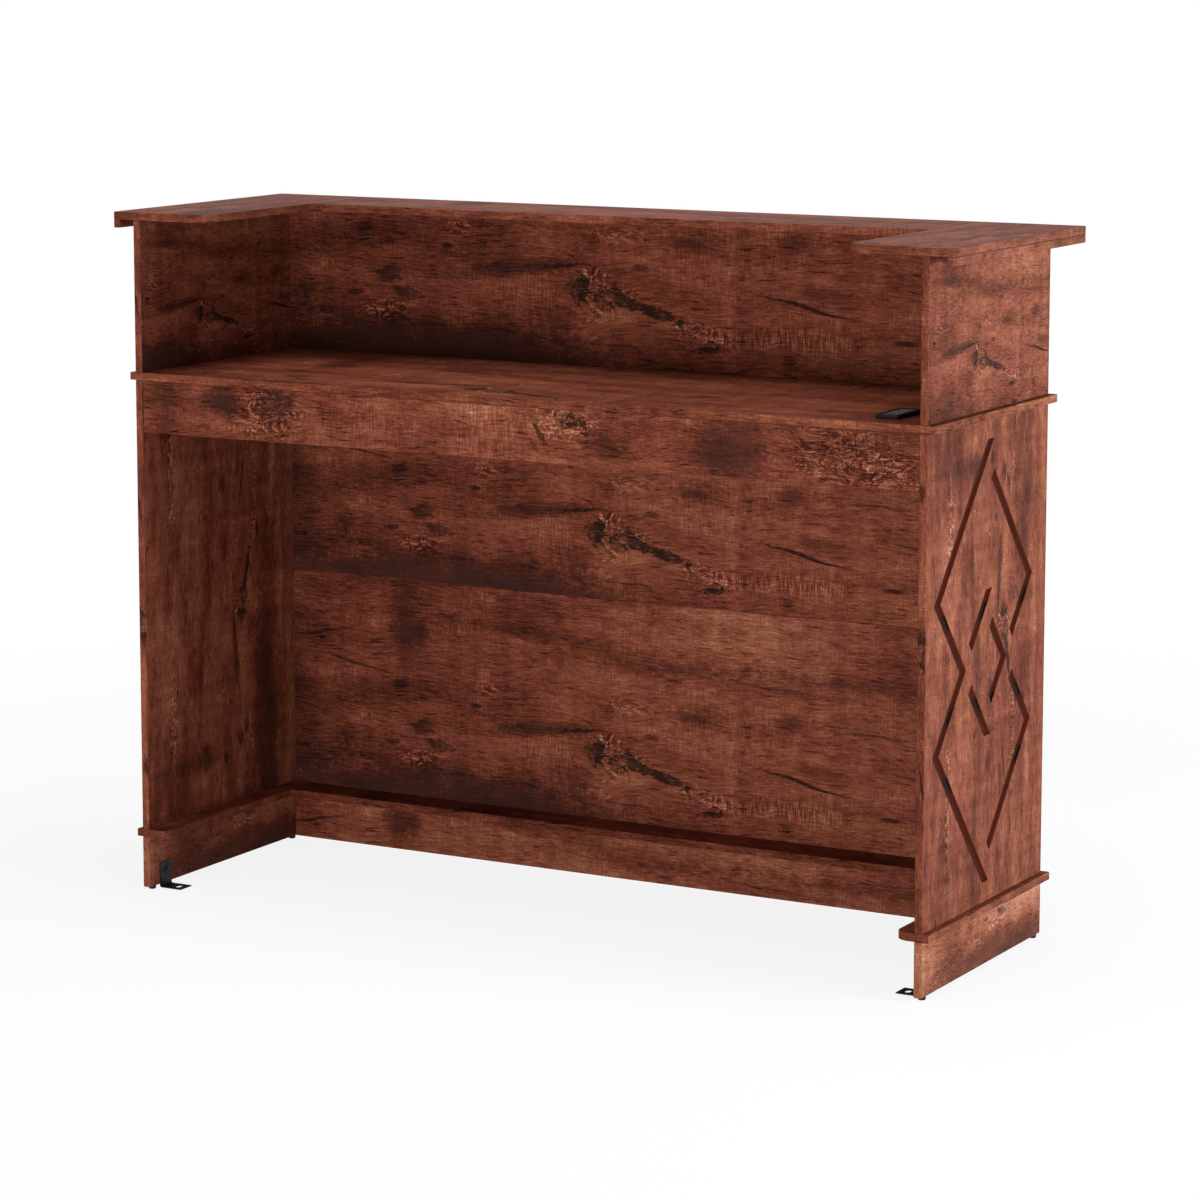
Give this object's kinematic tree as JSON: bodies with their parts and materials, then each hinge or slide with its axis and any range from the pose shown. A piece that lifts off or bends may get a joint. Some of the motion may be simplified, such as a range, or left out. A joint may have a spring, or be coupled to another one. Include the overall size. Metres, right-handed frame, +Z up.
{
  "type": "reception desk",
  "caption": "Two-tier reception desk in wood-grain laminate board, with a raised wrap-round counter, an inner worktop with a power outlet, grooved side boards and an open knee space.",
  "frame": {"origin": "on the floor, under the middle of the counter's outline", "axes": "+X along the desk, +Y from the staff side to the customer side, +Z up"},
  "size_m": [1.4, 0.462, 1.054],
  "materials": {
    "laminate": "satin rustic red-brown wood-grain laminate",
    "dowel": "raw beech",
    "black_steel": "satin black",
    "zinc": "zinc plated",
    "black_plastic": "matt black",
    "gloss_black": "gloss black"
  },
  "bodies": {
    "desk": {"base_left": "laminate", "base_right": "laminate", "base_front": "laminate", "base_ledge_left": "laminate", "base_ledge_right": "laminate", "base_ledge_front": "laminate", "lower_left_side": "laminate", "lower_right_side": "laminate", "lower_front_panel_bottom": "laminate", "lower_front_panel_top": "laminate", "worktop": "laminate", "apron": "laminate", "upper_left_side": "laminate", "upper_right_side": "laminate", "upper_front_panel": "laminate", "counter_left_cap": "laminate", "counter_right_cap": "laminate", "counter_front_board": "laminate", "counter_lip_left": "laminate", "counter_lip_right": "laminate", "counter_lip_front": "laminate", "outlet_bezel": "black_plastic", "outlet_body": "black_plastic", "outlet_socket": "gloss_black", "outlet_usb_insert": "gloss_black", "outlet_cord_gland": "black_plastic", "bracket_screw_left": "black_steel", "bracket_screw_right": "black_steel", "foot_insert_front_left": "zinc", "foot_insert_front_right": "zinc", "foot_insert_back_left": "zinc", "foot_insert_back_right": "zinc", "dowel_apron_left": "dowel", "dowel_apron_right": "dowel", "dowel_base_front_left": "dowel", "dowel_base_front_right": "dowel", "dowel_base_left_front": "dowel", "dowel_base_left_back": "dowel", "dowel_base_right_front": "dowel", "dowel_base_right_back": "dowel", "dowel_worktop_front_left": "dowel", "dowel_worktop_front_right": "dowel", "dowel_worktop_left_front": "dowel", "dowel_worktop_left_back": "dowel", "dowel_worktop_right_front": "dowel", "dowel_worktop_right_back": "dowel", "dowel_counter_front_left": "dowel", "dowel_counter_front_right": "dowel", "dowel_counter_left_front": "dowel", "dowel_counter_left_back": "dowel", "dowel_counter_right_front": "dowel", "dowel_counter_right_back": "dowel"},
    "levelling_foot_front_left": {"foot_front_left": "black_plastic"},
    "levelling_foot_front_right": {"foot_front_right": "black_plastic"},
    "levelling_foot_back_left": {"foot_back_left": "black_plastic"},
    "levelling_foot_back_right": {"foot_back_right": "black_plastic"},
    "bracket_left": {"floor_bracket_left": "black_steel"},
    "bracket_right": {"floor_bracket_right": "black_steel"}
  },
  "joints": [
    {"name": "foot_front_left_screw", "type": "slide", "parent": "desk", "child": "levelling_foot_front_left", "axis": [0, 0, 1], "range_m": [-0.008, 0]},
    {"name": "foot_front_right_screw", "type": "slide", "parent": "desk", "child": "levelling_foot_front_right", "axis": [0, 0, 1], "range_m": [-0.008, 0]},
    {"name": "foot_back_left_screw", "type": "slide", "parent": "desk", "child": "levelling_foot_back_left", "axis": [0, 0, 1], "range_m": [-0.008, 0]},
    {"name": "foot_back_right_screw", "type": "slide", "parent": "desk", "child": "levelling_foot_back_right", "axis": [0, 0, 1], "range_m": [-0.008, 0]},
    {"name": "bracket_left_slide", "type": "slide", "parent": "desk", "child": "bracket_left", "axis": [0, 0, 1], "range_m": [-0.008, 0]},
    {"name": "bracket_right_slide", "type": "slide", "parent": "desk", "child": "bracket_right", "axis": [0, 0, 1], "range_m": [-0.008, 0]}
  ]
}
